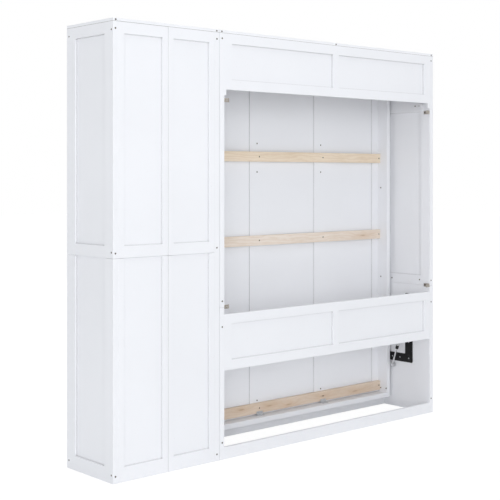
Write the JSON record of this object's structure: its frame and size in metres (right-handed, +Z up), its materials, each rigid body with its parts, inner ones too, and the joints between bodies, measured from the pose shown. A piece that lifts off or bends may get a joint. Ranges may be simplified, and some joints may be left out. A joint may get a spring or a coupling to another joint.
{
  "type": "wall bed with fold down desk",
  "caption": "Upright fold-down wall bed in a white panelled cabinet, with a desk that folds down from its front and a closet tower beside it.",
  "frame": {"origin": "on the floor, under the middle of the whole unit's box with the bed up and the desk folded", "axes": "+X along the wall towards the closet tower, +Y from the room towards the wall, +Z up"},
  "size_m": [2.324, 0.443, 2.16],
  "materials": {
    "white_board": "satin white paint on fibreboard",
    "pine": "planed pine, unfinished",
    "black_steel": "black powder coat",
    "rubber": "matte black",
    "strut_rod": "polished",
    "zinc_steel": "bright zinc plated",
    "chrome_tube": "polished",
    "dull_zinc": "dull zinc plated",
    "strut_tube": "silver grey enamel",
    "strut_cap": "black",
    "screw_bronze": "bronzed screw heads",
    "door_metal": "black bar handles, zinc hinge leaves",
    "drawer_metal": "black bar handles, zinc runner bars"
  },
  "bodies": {
    "cabinets": {"closet_outer_side_upper": "white_board", "closet_outer_side_lower": "white_board", "closet_inner_side": "white_board", "closet_top": "white_board", "closet_back_upper": "white_board", "closet_back_lower": "white_board", "closet_fixed_shelves": "white_board", "closet_hat_shelf": "white_board", "shelf_and_rail_supports": "zinc_steel", "hanging_rail": "chrome_tube", "closet_bottom": "white_board", "closet_kick_rail": "white_board", "bed_side_inner": "white_board", "bed_side_outer_upper": "white_board", "bed_side_outer_lower": "white_board", "bed_top": "white_board", "rear_top_header": "white_board", "rear_middle_header": "white_board", "rear_bottom_rail": "white_board", "front_kick_rail": "white_board", "cabinet_screws": "screw_bronze", "wall_brackets": "dull_zinc", "pivot_brackets": "black_steel", "bracket_studs": "zinc_steel", "drawer_runners": "zinc_steel", "bed_stops": "white_board", "door_hinge_plates": "zinc_steel"},
    "bed": {"bed_front": "white_board", "bed_rail_left": "white_board", "bed_rail_right": "white_board", "bed_rail_bottom": "white_board", "bed_rail_top": "white_board", "bed_battens": "pine", "bed_screws": "screw_bronze", "corner_brackets": "zinc_steel", "bed_pivot_plates": "zinc_steel", "bed_handles": "black_steel", "front_hinge_plates": "black_steel"},
    "left_strut_cylinder": {"strut_cylinder_left": "strut_tube", "strut_cap_left": "strut_cap"},
    "right_strut_cylinder": {"strut_cylinder_right": "strut_tube", "strut_cap_right": "strut_cap"},
    "left_strut_rod": {"strut_rod_left": "strut_rod"},
    "right_strut_rod": {"strut_rod_right": "strut_rod"},
    "desk": {"desk_top": "white_board", "desk_fittings": "black_steel"},
    "desk_legs": {"desk_leg_frame": "black_steel", "desk_leg_feet": "rubber"},
    "bed_legs": {"bed_leg_frame": "black_steel", "bed_leg_feet": "rubber"},
    "left_door": {"closet_door_left": "white_board", "left_door_fittings": "door_metal"},
    "right_door": {"closet_door_right": "white_board", "right_door_fittings": "door_metal"},
    "upper_drawer": {"upper_drawer_front": "white_board", "upper_drawer_box": "white_board", "upper_drawer_fittings": "drawer_metal"},
    "lower_drawer": {"lower_drawer_front": "white_board", "lower_drawer_box": "white_board", "lower_drawer_fittings": "drawer_metal"}
  },
  "joints": [
    {"name": "bed_fold", "type": "hinge", "parent": "cabinets", "child": "bed", "pos_m": [-0.3215, -0.1135, 0.308], "axis": [1, 0, 0], "range_deg": [0, 90]},
    {"name": "desk_fold", "type": "hinge", "parent": "bed", "child": "desk", "pos_m": [-0.3215, -0.1776, 0.7389], "axis": [-1, 0, 0], "range_deg": [-90, 0]},
    {"name": "desk_leg_fold", "type": "hinge", "parent": "desk", "child": "desk_legs", "pos_m": [-0.3215, -0.2085, 1.1789], "axis": [1, 0, 0], "range_deg": [-90, 0]},
    {"name": "bed_leg_fold", "type": "hinge", "parent": "bed", "child": "bed_legs", "pos_m": [-0.3215, -0.1875, 1.975], "axis": [-1, 0, 0], "range_deg": [0, 90]},
    {"name": "left_strut_swing", "type": "hinge", "parent": "cabinets", "child": "left_strut_cylinder", "pos_m": [-1.103, 0.0995, 0.692], "axis": [1, 0, 0], "range_deg": [-8.29, 0]},
    {"name": "left_strut_stroke", "type": "slide", "parent": "left_strut_cylinder", "child": "left_strut_rod", "axis": [0, 0.3228, 0.9465], "range_m": [0, 0.1006]},
    {"name": "right_strut_swing", "type": "hinge", "parent": "cabinets", "child": "right_strut_cylinder", "pos_m": [0.46, 0.0995, 0.692], "axis": [1, 0, 0], "range_deg": [-8.29, 0]},
    {"name": "right_strut_stroke", "type": "slide", "parent": "right_strut_cylinder", "child": "right_strut_rod", "axis": [0, 0.3228, 0.9465], "range_m": [0, 0.1006]},
    {"name": "left_door_swing", "type": "hinge", "parent": "cabinets", "child": "left_door", "pos_m": [0.553, -0.1776, 1.61], "axis": [0, 0, -1], "range_deg": [0, 95]},
    {"name": "right_door_swing", "type": "hinge", "parent": "cabinets", "child": "right_door", "pos_m": [1.13, -0.1776, 1.61], "axis": [0, 0, 1], "range_deg": [0, 95]},
    {"name": "upper_drawer_slide", "type": "slide", "parent": "cabinets", "child": "upper_drawer", "axis": [0, -1, 0], "range_m": [0, 0.3]},
    {"name": "lower_drawer_slide", "type": "slide", "parent": "cabinets", "child": "lower_drawer", "axis": [0, -1, 0], "range_m": [0, 0.3]}
  ],
  "couplings": [
    {"joint": "desk_leg_fold", "follows": "desk_fold", "ratio": 1},
    {"joint": "bed_leg_fold", "follows": "bed_fold", "ratio": 1},
    {"joint": "left_strut_swing", "follows": "bed_fold", "ratio": -0.091507},
    {"joint": "left_strut_stroke", "follows": "bed_fold", "m_per_rad": 0.063859},
    {"joint": "right_strut_swing", "follows": "bed_fold", "ratio": -0.091507},
    {"joint": "right_strut_stroke", "follows": "bed_fold", "m_per_rad": 0.063859}
  ]
}
